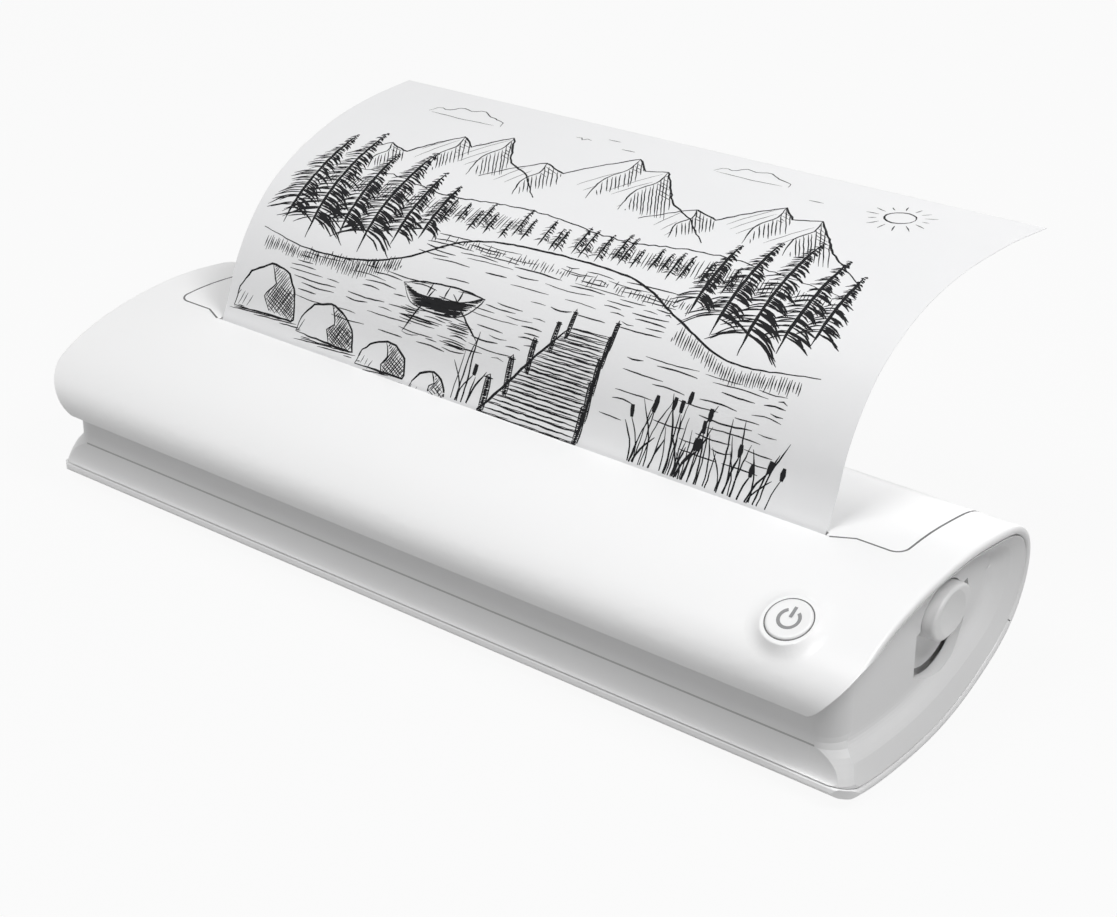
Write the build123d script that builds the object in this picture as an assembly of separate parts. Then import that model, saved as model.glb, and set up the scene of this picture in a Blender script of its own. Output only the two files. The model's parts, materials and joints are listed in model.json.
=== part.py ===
from build123d import *
from math import acos, atan2, cos, degrees, hypot, pi, radians, sin, tan
import os

os.makedirs("parts", exist_ok=True)

# A portable printer for A4-wide thermal paper, in millimetres.
# X runs along the printer, -Y is the front, +Z is up. The origin is on the resting plane, under the paper slot.
# Side views are drawn as (y, z) pairs and extruded along X.

# ---------------------------------------------------------------- driving dimensions
PAPER_WIDTH = 210.0
PAPER_THICK = 0.08
HALF_LENGTH = 138.6          # centre to the end rim of the housing
SKIN = 2.3                   # wall of the outer shells
SEAM = 0.15                  # half of the gap between outer mouldings
OUTLINE = [                  # outside of the scroll, from the lip under the belly and over the back to the snout
    (-40.3, 3.8), (-30.0, 1.7), (-16.0, 0.8), (-2.0, 1.3), (12.0, 4.0), (24.0, 8.8), (34.0, 14.9),
    (40.4, 22.9), (43.2, 32.0), (42.2, 39.6), (37.6, 44.4), (28.0, 47.0), (14.0, 48.3), (0.0, 47.9),
    (-12.0, 46.4), (-24.0, 43.5), (-34.0, 39.2), (-40.6, 33.4), (-42.7, 28.2), (-41.7, 23.7),
]

COVER_HALF = 125.4           # cover side seams
COVER_FRONT = 0.9            # cover front seam beside the slot
SLOT_FRONT = -2.2            # front edge of the paper slot
SLOT_BACK = -0.5
SLOT_HALF = 105.6
JOG_OUTER = 112.4            # the seam steps forward to the slot between these two
JOG_INNER = 106.4
COVER_CORNER = 3.5
BARREL_RADIUS = 5.6          # rolled rear edge of the cover, round the hinge axis

NECK_FRONT = -37.6           # front groove: flat neck band, then a cove out to the lip
NECK_FOOT = 13.7
PANEL_WALL = 1.8
PANEL_HALF = 126.0

CAP_INNER = 126.0            # end cap stations along X
CAP_WEB = 127.2
CAP_BACK = 130.8             # inner face of the cap floor
CAP_FLOOR = 133.0
CAP_RIM = 138.2

# End recess: its depths below the outline at the rim, on the ridge and on the floor
DISH_DEPTHS = [
    (SKIN + 0.2, 8.5, 12.4),  # bottom
    (SKIN + 0.2, 7.0, 12.0),  # rear
    (SKIN + 0.2, 3.9, 4.6),  # top
]
DISH_STATIONS = [  # weight of rim, ridge and floor, then X
    (1.0, 0.0, 0.0, CAP_RIM + 0.1),
    (0.2, 0.8, 0.0, 136.62),
    (0.10, 0.84, 0.06, 136.3),
    (0.04, 0.83, 0.13, 135.9),
    (0.0, 0.7, 0.3, 135.24),
    (0.0, 0.35, 0.65, 134.12),
    (0.0, 0.16, 0.84, 133.62),
    (0.0, -0.02, 1.02, 133.28),
    (0.0, -0.24, 1.24, 133.08),
    (0.0, -0.5, 1.5, CAP_FLOOR),
]
CORNER_LEVELS = [  # Z, side face X, front face Y and corner radius of the wrapped corner
    (0.0, 138.2, -39.7, 6.0),
    (6.3, 138.2, -39.61, 6.0),
    (8.0, 137.7, -39.2, 6.2),
    (9.6, 137.1, -38.75, 6.4),
    (11.0, 136.5, -38.3, 6.6),
    (12.1, 135.9, -37.95, 6.8),
    (13.7, 134.4, -37.6, 7.0),
    (15.2, 133.3, -37.6, 7.0),
    (16.6, CAP_FLOOR, -37.6, 7.0),
    (32.0, CAP_FLOOR, -37.6, 7.0),
]


PLATEN = (1.95, 37.5)        # centres in the side view
PLATEN_RADIUS = 5.0
LATCH = (13.3, 33.9)
ROLL = (13.5, 20.5)
ROLL_RADIUS = 10.6
CELL = (-24.5, 31.2)
CELL_RADIUS = 9.1
MODULE = 0.5
PLATEN_TEETH, IDLER_TEETH, SMALL_TEETH, LARGE_TEETH, MOTOR_TEETH = 16, 28, 14, 48, 12

PLATE_IN, PLATE_OUT = 106.4, 107.6       # side plates
ARM_IN, ARM_OUT = 108.2, 110.2           # cover arms
HOOK_IN, HOOK_OUT = 110.6, 112.6         # latch hooks
GEAR_IN, GEAR_OUT = 113.2, 116.2         # platen, idler and small reduction gears
WHEEL_IN, WHEEL_OUT = 117.0, 119.6       # large reduction gear and motor pinion

BUTTON_X, BUTTON_Y = 115.2, -31.6
BUTTON_RADIUS = 5.9
BOSS_RADIUS = 7.3
BOSS_RISE = 1.0
BOSS_BLEND = 8.0
FRONT_SCREW = (123.0, -14.0)
REAR_SCREW = (128.6, 5.0)
SOCKET = (14.0, 20.0)
CELL_STARTS = (-34.0, 33.2)
CELL_LENGTH = 64.0

# ---------------------------------------------------------------- drawing helpers
outline = Spline(*OUTLINE)


def inset_point(u, depth):
    """Point at a depth inside the outline, at fraction u of its length."""
    p, t = outline @ u, outline % u
    return (p.X - depth * t.Y, p.Y + depth * t.X)


def inset_curve(depth, u0, u1, steps=20):
    """Curve inside the outline. The depth is a number, or a function of u."""
    at = depth if callable(depth) else (lambda u: depth)
    us = [u0 + (u1 - u0) * k / steps for k in range(steps + 1)]
    return Spline(*[inset_point(u, at(u)) for u in us])


def find_u(y, low, high):
    """Fraction of the outline where it crosses y, between two fractions."""
    rising = (outline @ low).X < (outline @ high).X
    for _ in range(40):
        mid = (low + high) / 2
        if ((outline @ mid).X < y) == rising:
            low = mid
        else:
            high = mid
    return (low + high) / 2


def ring(curve, *points):
    """Face bounded by a curve and the straight runs that close it through the points."""
    corners = [curve @ 1, *[Vector(*p) for p in points], curve @ 0]
    lines = [Line(a, b) for a, b in zip(corners, corners[1:])]
    return make_face([curve, *lines])


def skin_band(u0, u1, outer, inner):
    """Strip of wall between two depths."""
    a, b = inset_curve(outer, u0, u1), inset_curve(inner, u0, u1)
    return make_face([a, Line(a @ 1, b @ 1), b, Line(b @ 0, a @ 0)])


def near_vertex(face, spot):
    return min(face.vertices(), key=lambda v: hypot(v.X - spot[0], v.Y - spot[1]))


def soft_shell(u0, u1, tip):
    """Length of outer wall. The edges at its free tip and at both end rims are rounded."""
    face = skin_band(u0, u1, 0, SKIN)
    for depth, radius in ((0.0, 1.0), (SKIN, 0.6)):
        face = fillet(near_vertex(face, inset_point(tip, depth)), radius)
    body = prism(face, -HALF_LENGTH, HALF_LENGTH)
    rims = [edge for edge in body.edges() if abs(abs(edge.center().X) - HALF_LENGTH) < 0.01]
    longest = max(edge.length for edge in rims)
    return fillet([edge for edge in rims if edge.length > longest - 0.05], 1.0)


def poly(*points):
    return make_face(Polyline(*points, close=True))


def disc(centre, radius):
    return Pos(*centre) * Circle(radius)


def tube_face(centre, outer, inner):
    return disc(centre, outer) - disc(centre, inner)


def prism(face, x0, x1):
    """Side-view face extruded along X."""
    return extrude(Plane.YZ.offset(x0) * face, x1 - x0)


def rod(centre, radius, x0, x1):
    return prism(disc(centre, radius), x0, x1)


def both_ends(part):
    return part + mirror(part, about=Plane.YZ)


def polar(centre, radius, angle):
    return (centre[0] + radius * cos(radians(angle)), centre[1] + radius * sin(radians(angle)))


def sector(centre, radius, start, stop):
    """Pie slice, counter-clockwise from start to stop, in degrees."""
    arc = CenterArc(centre, radius, start, stop - start)
    return make_face([arc, Line(arc @ 1, centre), Line(centre, arc @ 0)])


def block(x0, x1, y0, y1, z0, z1):
    centre = Pos((x0 + x1) / 2, (y0 + y1) / 2, (z0 + z1) / 2)
    return centre * Box(abs(x1 - x0), abs(y1 - y0), abs(z1 - z0))


def slab(sketch, z0, z1):
    """Plan-view sketch extruded upwards."""
    return extrude(Pos(0, 0, z0) * sketch, z1 - z0)


U_SLOT = find_u(SLOT_FRONT, 0.5, 0.95)
U_SPLIT = find_u(36.4, 0.2, 0.45)
U_KERB = find_u(38.8, 0.2, 0.45)
U_HINGE = find_u(41.2, 0.3, 0.5)
HINGE = inset_point(U_HINGE, BARREL_RADIUS)

# ---------------------------------------------------------------- gears


def gear_face(teeth, bore, phase=0.0, backlash=0.10, addendum=0.85):
    """Involute spur gear, 20 degree pressure angle. Phase turns the first tooth's middle, in degrees."""
    pitch = MODULE * teeth / 2
    base = pitch * cos(radians(20))
    tip = pitch + addendum * MODULE
    root = pitch - 1.2 * MODULE

    def half_angle(radius):
        # half the tooth's angle at a radius: the pitch value less the growth of the involute
        def involute(r):
            a = acos(min(1.0, base / r))
            return tan(a) - a
        return pi / (2 * teeth) - backlash / (2 * pitch) + involute(pitch) - involute(max(radius, base))

    points = []
    for k in range(teeth):
        mid = radians(phase) + 2 * pi * k / teeth
        radii = [root, (base if base > root else root + 0.1), pitch, tip]
        flank = [(r, half_angle(r)) for r in radii]
        for r, a in flank:
            points.append((r * cos(mid - a), r * sin(mid - a)))
        for r, a in reversed(flank):
            points.append((r * cos(mid + a), r * sin(mid + a)))
    return poly(*points) - Circle(bore)


IDLER_ANGLE = -127.0                      # platen to idler, seen along +X with Y to the right
REDUCTION_ANGLE = -118.0                  # idler to compound gear
MOTOR_ANGLE = 180.0                       # compound gear to motor
IDLER = polar(PLATEN, MODULE * (PLATEN_TEETH + IDLER_TEETH) / 2, IDLER_ANGLE)
REDUCTION = polar(IDLER, MODULE * (IDLER_TEETH + SMALL_TEETH) / 2, REDUCTION_ANGLE)
MOTOR = polar(REDUCTION, MODULE * (LARGE_TEETH + MOTOR_TEETH) / 2, MOTOR_ANGLE)


def meshing_phase(driver_phase, driver_teeth, teeth, angle):
    """Phase that puts a tooth space of the driven gear on the driver's tooth along the centre line."""
    offset = (angle - driver_phase) * driver_teeth / 360
    return angle + 180 + (offset + 0.5) * 360 / teeth


GEAR_SWING = hypot(PLATEN[0] - HINGE[0], PLATEN[1] - HINGE[1]) + MODULE * (PLATEN_TEETH / 2 + 0.85) + 0.3
PLATEN_PHASE = IDLER_ANGLE
IDLER_PHASE = meshing_phase(PLATEN_PHASE, PLATEN_TEETH, IDLER_TEETH, IDLER_ANGLE)
SMALL_PHASE = meshing_phase(IDLER_PHASE, IDLER_TEETH, SMALL_TEETH, REDUCTION_ANGLE)
LARGE_PHASE = SMALL_PHASE
MOTOR_PHASE = meshing_phase(LARGE_PHASE, LARGE_TEETH, MOTOR_TEETH, MOTOR_ANGLE)


def gear(centre, teeth, bore, phase, x0, x1):
    return prism(Pos(*centre) * gear_face(teeth, bore, phase), x0, x1)


# ---------------------------------------------------------------- housing


def plan_opening(gap):
    """Cover outline seen from above. The gap is added all round, so it can be negative."""
    half, front = COVER_HALF + gap, COVER_FRONT - gap
    step = SLOT_FRONT + SEAM * 2 - gap
    points = [
        (-half, 80), (-half, front), (-JOG_OUTER - gap, front), (-JOG_INNER - gap, step),
        (JOG_INNER + gap, step), (JOG_OUTER + gap, front), (half, front), (half, 80),
    ]
    shape = poly(*points)
    corners = [v for v in shape.vertices() if abs(abs(v.X) - half) < 0.01 and v.Y < 10]
    return fillet(corners, COVER_CORNER + gap)


def snout_trim():
    """Front-view cut that rounds the snout's lower ends and sweeps them out to the rim."""
    sweep = Spline((121.0, 22.5), (125.6, 23.4), (129.6, 25.9), (133.0, 29.6), (136.4, 34.2), (HALF_LENGTH + 0.2, 39.5))
    face = make_face([sweep, Polyline(sweep @ 1, (150, 39.5), (150, 20), (121, 20), sweep @ 0)])
    cut = extrude(Plane.XZ * face, 45)
    return Pos(0, -22, 0) * cut


def button_plane():
    u = find_u(BUTTON_Y, 0.7, 0.97)
    p, t = outline @ u, outline % u
    return Plane(origin=(BUTTON_X, p.X, p.Y), x_dir=(1, 0, 0), z_dir=(0, t.Y, -t.X))


def turned(profile, plane):
    """Closed (radius, height) profile turned round the plane's normal."""
    return plane * revolve(Plane.XZ * profile, Axis.Z)


def button_boss():
    """Cone that carries the button out of the sloping snout."""
    foot = BOSS_RISE - 10.0
    cone = poly((0, BOSS_RISE), (BOSS_RADIUS, BOSS_RISE), (BOSS_RADIUS + 8.0, foot), (0, foot))
    crest = [v for v in cone.vertices() if v.X > 1 and v.Y > 0]
    return turned(fillet(crest, 0.6), button_plane())


def upper_shell():
    skin = soft_shell(U_SPLIT + 0.0008, 1.0, 1.0)
    ceiling = prism(ring(inset_curve(SKIN / 2, 0.55, 1.0), (-30, 10), (40, 10)), -HALF_LENGTH, HALF_LENGTH)
    boss = button_boss() - ceiling
    body = skin + boss
    body = fillet(new_edges(skin, boss, combined=body), BOSS_BLEND)
    body -= slab(plan_opening(SEAM), 8, 60)
    trim = snout_trim()
    body -= trim
    body -= mirror(trim, about=Plane.YZ)
    body -= rod(HINGE, GEAR_SWING, -GEAR_OUT - 0.5, -GEAR_IN + 0.5)
    plane = button_plane()
    body -= plane * Pos(0, 0, -6) * Cylinder(BUTTON_RADIUS + 0.25, 20)
    x, y = FRONT_SCREW
    post = Pos(x, y, 27) * Cylinder(2.5, 38) - Pos(x, y, 13) * Cylinder(1.0, 12)
    body += both_ends(post) & ceiling
    feet = [plane * Pos(s * 8.95, 0, -5.8) * Cylinder(1.6, 7.36) for s in (-1, 1)]
    for foot in feet:
        body += foot & ceiling
    return body


def lower_shell():
    body = soft_shell(0.0, U_SPLIT - 0.0008, 0.0)
    kerb = prism(skin_band(U_SPLIT - 0.01, U_KERB, 0, SKIN), -COVER_HALF, COVER_HALF)
    body += kerb - rod(HINGE, BARREL_RADIUS + 0.6, -150, 150)
    plinth = slab(Pos(0, -8, 0) * RectangleRounded(220, 46, 12), 0.6, 14)
    belly = prism(ring(inset_curve(1.0, 0.0, U_SPLIT), (36, 60), (-45, 60)), -HALF_LENGTH, HALF_LENGTH)
    body += plinth - belly
    body -= slab(Pos(0, -8, 0) * RectangleRounded(206.2, 38.2, 9.1), -1, 1.2)
    for s in (-1, 1):
        corner = block(s * 132.6, s * 145, -50, -34.3, -5, 12) - Pos(s * 132.6, -34.3, 0) * Cylinder(6.0, 40)
        body -= corner
        x, y = FRONT_SCREW
        body += Pos(s * x, y, 4.85) * Cylinder(2.9, 6.1)
        for x, y in (FRONT_SCREW, REAR_SCREW):
            body -= Pos(s * x, y, 5) * Cylinder(1.2, 12)
            body -= Pos(s * x, y, 1.0) * Cylinder(2.2, 5.0)
    for x in (-78, 0, 78):
        for y in (-31.0, -22.0):
            body += Pos(x, y, 6.0) * Cylinder(1.8, 7.0)
    return body


def cove_lines():
    """Neck band and cove, from the top of the neck down to the lip."""
    lip = inset_point(0.0, SKIN + 0.25)
    neck = Line((NECK_FRONT, 27.0), (NECK_FRONT, NECK_FOOT))
    reach, drop = NECK_FRONT - lip[0], NECK_FOOT - lip[1]
    quarter = [(lip[0] + reach * cos(pi * k / 20), NECK_FOOT - drop * sin(pi * k / 20)) for k in range(11)]
    return neck, Spline(*quarter)


def front_panel():
    neck, cove = cove_lines()
    back = NECK_FRONT + PANEL_WALL
    floor_back = inset_point(find_u(back - 0.3, 0.0, 0.1), SKIN + 0.25)
    face = make_face([neck, cove, Polyline(cove @ 1, floor_back, (back, 12.5), (back, 27.0), neck @ 0)])
    panel = prism(face, -PANEL_HALF, PANEL_HALF)
    panel += block(-PANEL_HALF, PANEL_HALF, -39.1, NECK_FRONT + 0.5, 24.6, 26.0)
    for x in range(-110, 111, 22):
        panel += block(x - 0.6, x + 0.6, back - 0.2, back + 1.2, 8.0, 26.5)
    return panel


def dish_section(rim, ridge, floor, x):
    """One station of the end recess, its depths mixed by the three weights."""
    bottom, rear, top = [rim * a + ridge * b + floor * c for a, b, c in DISH_DEPTHS]

    def depth(u):
        up_back = 0.5 - 0.5 * cos(pi * min(1.0, max(0.0, (u - 0.24) / 0.16)))
        over_top = 0.5 - 0.5 * cos(pi * min(1.0, max(0.0, (u - 0.50) / 0.16)))
        return bottom + (rear - bottom) * up_back + (top - rear) * over_top
    curve = inset_curve(depth, 0.0, 0.97, 28)
    low, high = curve @ 0, curve @ 1
    return Plane.YZ.offset(x) * ring(curve, (-60, high.Y), (-60, low.Y))


def dish():
    """The space of the end recess: a sloped band, a rounded ridge, then a steeper slope with a soft foot."""
    sections = [dish_section(*station) for station in DISH_STATIONS]
    space = Part()
    for a, b in zip(sections, sections[1:]):
        space += loft([a, b], ruled=True)
    return space


def wrapped_corner():
    """Plan-rounded solid that carries the groove round into the end recess, from the lip up to the snout."""
    sections = []
    for z, x, y, radius in CORNER_LEVELS:
        face = Pos((x + 118) / 2, (y - 20) / 2) * Rectangle(x - 118, -20 - y)
        corner = [v for v in face.vertices() if v.X > 130 and v.Y < -30]
        sections.append(Plane.XY.offset(z) * fillet(corner, radius))
    body = Part()
    for a, b in zip(sections, sections[1:]):
        body += loft([a, b], ruled=True)
    return body


def end_cap(side):
    """End moulding: a shallow dish with a sloped band round it, open to the front groove."""
    neck, cove = cove_lines()
    crown = find_u(NECK_FRONT, 0.85, 0.99)
    hull = inset_curve(SKIN + 0.25, 0.0, crown - 0.012, 24)
    full = make_face([hull, Polyline(hull @ 1, (NECK_FRONT, 31.0), (NECK_FRONT, NECK_FOOT)), cove])
    body = prism(full, CAP_INNER, CAP_RIM) - dish()
    body -= block(CAP_INNER, 140, -45, -30.4, 0, 31.9) - wrapped_corner()
    body -= Pos(-0.4, 0, 0) * snout_trim() & block(CAP_FLOOR, 150, -80, 0, 18, 60)
    hollow = ring(inset_curve(SKIN + 2.2, 0.0, 1.0, 24), (-34.6, 30), (-34.6, 12))
    hollow &= Pos(20, 30) * Rectangle(109.2, 100)
    body -= prism(hollow, CAP_INNER - 1, CAP_BACK)
    body += rod(HINGE, 3.0, CAP_INNER, CAP_BACK + 0.5)
    body -= rod(HINGE, 1.55, CAP_INNER - 1, CAP_INNER + 4.0)
    x, y = REAR_SCREW
    body += Pos(x, y, 9.0) * Cylinder(2.2, 7.0) + block(x, CAP_BACK + 0.3, y - 1.6, y + 1.6, 5.5, 12.5)
    body -= Pos(x, y, 7.0) * Cylinder(1.0, 9.0)
    if side > 0:
        return body - prism(lever_window(), CAP_BACK - 1, CAP_FLOOR + 1)
    body += rod(LATCH, 3.2, CAP_INNER, CAP_BACK + 0.5)
    body -= rod(LATCH, 1.55, CAP_INNER - 1, CAP_INNER + 4.0)
    body -= prism(Pos(*SOCKET) * RectangleRounded(9.3, 3.5, 1.7), CAP_BACK - 1, CAP_FLOOR + 1)
    return mirror(body, about=Plane.YZ)


# ---------------------------------------------------------------- release lever

GRIP = (8.5, 32.2)
GRIP_LONG, GRIP_SHORT = 9.15, 6.4
GRIP_TILT = 14.0
WINDOW = (6.5, 30.0)
WINDOW_RADIUS = 15.4
WINDOW_LEFT = -2.6


def grip_face(grow=0.0):
    return Pos(*GRIP) * Rot(0, 0, GRIP_TILT) * Ellipse(GRIP_LONG + grow, GRIP_SHORT + grow)


def lever_window():
    """Opening in the right cap: a round window with a straight front edge, closed above along the grip."""
    half = Pos(*GRIP) * Rot(0, 0, GRIP_TILT) * Pos(0, -20) * Rectangle(60, 40)
    front = Pos(WINDOW_LEFT + 20, WINDOW[1]) * Rectangle(40, 60)
    window = (disc(WINDOW, WINDOW_RADIUS) & half & front) + grip_face(0.4)
    return window


def release_lever():
    plate = disc(WINDOW, WINDOW_RADIUS - 1.9) & (Pos(WINDOW_LEFT + 16.4, WINDOW[1]) * Rectangle(34, 60))
    body = prism(plate, 128.4, CAP_BACK - 0.25)
    body -= rod(LATCH, 1.5, 128.0, 129.9)
    grip = prism(grip_face(), CAP_BACK - 0.3, 136.4)
    rim = [e for e in grip.edges() if e.center().X > 136.3]
    grip = fillet(rim, 0.9)
    dimple = Pos(136.4 + 21.2, *GRIP) * Sphere(22.0)
    return body + grip - dimple


def latch_hook(side):
    """Hook on the latch shaft. Its beak reaches over the striker pin from the front."""
    pin = STRIKER
    arm = poly((LATCH[0] - 3.0, LATCH[1]), (LATCH[0] + 2.6, LATCH[1] + 1.0), (pin[0] - 1.75, pin[1] - 1.2),
               (pin[0] - 1.75, pin[1] + 1.5), (pin[0] - 0.75, pin[1] + 2.15), (pin[0] - 1.5, pin[1] + 2.9),
               (pin[0] - 4.0, pin[1] + 2.0), (pin[0] - 4.4, pin[1] - 1.5))
    face = (disc(LATCH, 3.3) + arm) - disc(LATCH, 1.5)
    body = prism(face, HOOK_IN, HOOK_OUT)
    return body if side > 0 else mirror(body, about=Plane.YZ)


STRIKER = (13.3, 41.0)


def latch_shaft():
    return rod(LATCH, 1.5, -CAP_INNER - 3.5, 129.9)


def lever_spring():
    coil = Helix(pitch=0.9, height=3.6, radius=2.35)
    wire = sweep(Plane(origin=coil @ 0, z_dir=coil % 0) * Circle(0.3), path=coil)
    return Pos(114.5, *LATCH) * Rot(0, 90, 0) * wire


# ---------------------------------------------------------------- cover


def cover_skin():
    top = prism(skin_band(U_HINGE, U_SLOT, 0, SKIN), -COVER_HALF, COVER_HALF)
    t = outline % U_HINGE
    start = degrees(atan2(-t.X, t.Y))
    roll = tube_face(HINGE, BARREL_RADIUS, BARREL_RADIUS - SKIN) & sector(HINGE, 9.0, start - 150, start)
    body = top + prism(roll, -COVER_HALF, COVER_HALF)
    keep = plan_opening(0.0) - Pos(0, SLOT_BACK - 5) * Rectangle(2 * SLOT_HALF, 10)
    body &= slab(keep, 5, 60)
    knuckle = rod(HINGE, BARREL_RADIUS - SKIN + 0.3, 119.0, COVER_HALF) - rod(HINGE, 1.5, 118.0, COVER_HALF + 1)
    return body + both_ends(knuckle)


def cover_liner():
    u_back = find_u(31.0, 0.55, 0.75)
    body = prism(skin_band(u_back, find_u(1.2, 0.6, 0.9), SKIN + 0.02, SKIN + 1.3), -104.0, 104.0)
    inside = prism(ring(inset_curve(SKIN + 1.2, u_back, U_SLOT), (0, 30), (31, 30)), -120, 120)
    rib_zone = poly((6.5, 46.5), (31.0, 46.5), (31.0, 40.5), (24.0, 38.6), (9.0, 42.6))
    for k in range(9):
        x = -96.0 + 24.0 * k
        body += prism(rib_zone, x - 0.6, x + 0.6) & inside
    return body


def platen_arm(side):
    inside = ring(inset_curve(SKIN + 0.02, 0.5, U_SLOT), (0, 20), (38, 20))
    arm = poly((-0.4, 46.0), (24.0, 50.0), (24.0, 42.0), (15.0, 38.4), (5.0, 33.2), (-1.5, 35.0), (-2.4, 39.0), (-0.4, 43.5))
    face = ((disc(PLATEN, 5.0) + arm) & inside) - disc(PLATEN, 3.0)
    body = prism(face, ARM_IN, ARM_OUT) + rod(STRIKER, 1.4, ARM_OUT, HOOK_OUT)
    return body if side > 0 else mirror(body, about=Plane.YZ)


def platen_bush(side):
    body = prism(tube_face(PLATEN, 3.0, 2.03), 105.8, ARM_OUT + 0.2)
    return body if side > 0 else mirror(body, about=Plane.YZ)


def tear_bar():
    pitch, low, high = 2.0, 43.6, 47.7
    count = 104
    points = [(-104.0, low)]
    for k in range(count):
        x = -104.0 + pitch * k
        points += [(x, high - 0.9), (x + pitch / 2, high)]
    points += [(104.0, high - 0.9), (104.0, low)]
    return Pos(0, SLOT_BACK - 0.02, 0) * extrude(Plane.XZ * poly(*points), 0.4)


def hinge_pin(side):
    body = rod(HINGE, 1.5, 119.5, CAP_INNER + 3.8)
    body = chamfer(body.edges().sort_by(Axis.X)[-1], 0.3)
    return body if side > 0 else mirror(body, about=Plane.YZ)


# ---------------------------------------------------------------- print mechanism

LEAN = 8.0                                # the nip leans back from upright, in degrees
NIP_GAP = 0.12


def nip_point(along, depth):
    """Point on the head side of the nip: along the paper upwards, and depth away from the platen."""
    t = (sin(radians(LEAN)), cos(radians(LEAN)))
    n = (-t[1], t[0])
    base = (PLATEN[0] + PLATEN_RADIUS * n[0], PLATEN[1] + PLATEN_RADIUS * n[1])
    return (base[0] + along * t[0] + depth * n[0], base[1] + along * t[1] + depth * n[1])


def nip_rectangle(low, high, near, far):
    return poly(nip_point(low, near), nip_point(high, near), nip_point(high, far), nip_point(low, far))


HEAD_PIVOT = nip_point(-8.0, 2.5)


def head_strip():
    strip = prism(nip_rectangle(-6.5, 2.4, NIP_GAP, 0.92), -104.6, 104.6)
    return strip


def head_sink():
    body = prism(nip_rectangle(-9.6, 2.4, 0.92, 4.0), -105.0, 105.0)
    for k in range(11):
        x = -100.0 + 20.0 * k
        body -= prism(nip_rectangle(-7.0, 3.0, 2.6, 5.0), x - 7.0, x + 7.0)
    return body


def head_pivot():
    return both_ends(rod(HEAD_PIVOT, 1.0, 105.0, PLATE_OUT))


def mechanism_beam():
    web = poly((-12.4, 26.5), (-11.4, 26.5), (-11.4, 40.2), (-9.6, 40.2), (-9.6, 41.2), (-12.4, 41.2))
    foot = poly((-11.4, 26.5), (-11.4, 27.5), (-9.2, 27.5), (-9.2, 26.5))
    return prism(web + foot, -PLATE_IN, PLATE_IN)


def head_spring():
    """Leaf spring on the head's back. Its bowed fingers face the beam."""
    strip = prism(nip_rectangle(-9.2, -5.2, 4.0, 4.25), -100.0, 100.0)
    root = nip_point(-5.4, 4.125)
    finger = trace(Spline(root, (-10.1, 35.2), (-10.72, 37.4), (-10.2, 39.4)), 0.25)
    for k in range(7):
        x = -90.0 + 30.0 * k
        strip += prism(finger, x - 3.5, x + 3.5)
    return strip


def notch():
    """Open slot that the platen bush drops into, widening along the cover's swing."""
    cut = disc(PLATEN, 3.1)
    lean = radians(90 - 16)
    up = (cos(lean), sin(lean))
    side = (-up[1], up[0])

    def at(a, s):
        return (PLATEN[0] + a * up[0] + s * side[0], PLATEN[1] + a * up[1] + s * side[1])
    return cut + poly(at(0, 3.1), at(16, 3.4), at(16, -7.0), at(0, -3.1))


def side_plate(side):
    front = -35.0 if side < 0 else -14.0
    low = find_u(front, 0.0, 0.3)
    region = ring(inset_curve(SKIN + 0.3, low, find_u(24.0, 0.1, 0.4)), (24.0, 30.0), (17.0, 38.0), (8.0, 42.5),
                  (-12.8, 42.2), (-15.0, 30.0), (front, 28.0))
    face = (region & poly((-60, 0), (60, 0), (60, 43.0), (-60, 43.0))) - notch()
    face -= disc(LATCH, 1.56)
    face -= disc(HEAD_PIVOT, 1.04)
    face -= disc(ROLL, 8.6)
    if side < 0:
        face -= disc(MOTOR, 1.6)
    body = prism(face, PLATE_IN, PLATE_OUT)
    return body if side > 0 else mirror(body, about=Plane.YZ)


def gear_studs():
    idler = rod(IDLER, 1.5, -GEAR_OUT - 0.3, -PLATE_OUT)
    compound = rod(REDUCTION, 1.5, -WHEEL_OUT - 0.3, -PLATE_OUT)
    collars = rod(IDLER, 2.6, -GEAR_IN + 0.3, -PLATE_OUT) + rod(REDUCTION, 2.6, -GEAR_IN + 0.3, -PLATE_OUT)
    return idler + compound + collars


def platen_gear():
    wheel = gear(PLATEN, PLATEN_TEETH, 2.0, PLATEN_PHASE, -GEAR_OUT, -GEAR_IN)
    return wheel + prism(tube_face(PLATEN, 3.0, 2.0), -GEAR_IN, -ARM_OUT - 0.6)


def idler_gear():
    return gear(IDLER, IDLER_TEETH, 1.55, IDLER_PHASE, -GEAR_OUT, -GEAR_IN)


def reduction_gear():
    small = gear(REDUCTION, SMALL_TEETH, 1.55, SMALL_PHASE, -WHEEL_IN, -GEAR_IN)
    large = gear(REDUCTION, LARGE_TEETH, 1.55, LARGE_PHASE, -WHEEL_OUT, -WHEEL_IN)
    for k in range(5):
        x, y = polar(REDUCTION, 7.2, 72 * k + 18)
        large -= rod((x, y), 2.1, -WHEEL_OUT - 1, -WHEEL_IN + 1)
    return small + large


def motor_pinion():
    wheel = gear(MOTOR, MOTOR_TEETH, 1.0, MOTOR_PHASE, -WHEEL_OUT, -WHEEL_IN)
    return wheel + rod(MOTOR, 1.0, -WHEEL_OUT, -93.0)


def feed_motor():
    can = rod(MOTOR, 7.5, -105.6, -92.5)
    flange = disc(MOTOR, 4.2) + Pos(MOTOR[0], MOTOR[1]) * RectangleRounded(5.0, 21.0, 2.4)
    body = can + prism(flange, -PLATE_IN, -105.6)
    body += block(-102, -96, MOTOR[0] - 3.5, MOTOR[0] + 3.5, MOTOR[1] - 9.0, MOTOR[1] - 6.5)
    return body - rod(MOTOR, 1.05, -120, -90)


# ---------------------------------------------------------------- paper


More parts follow.
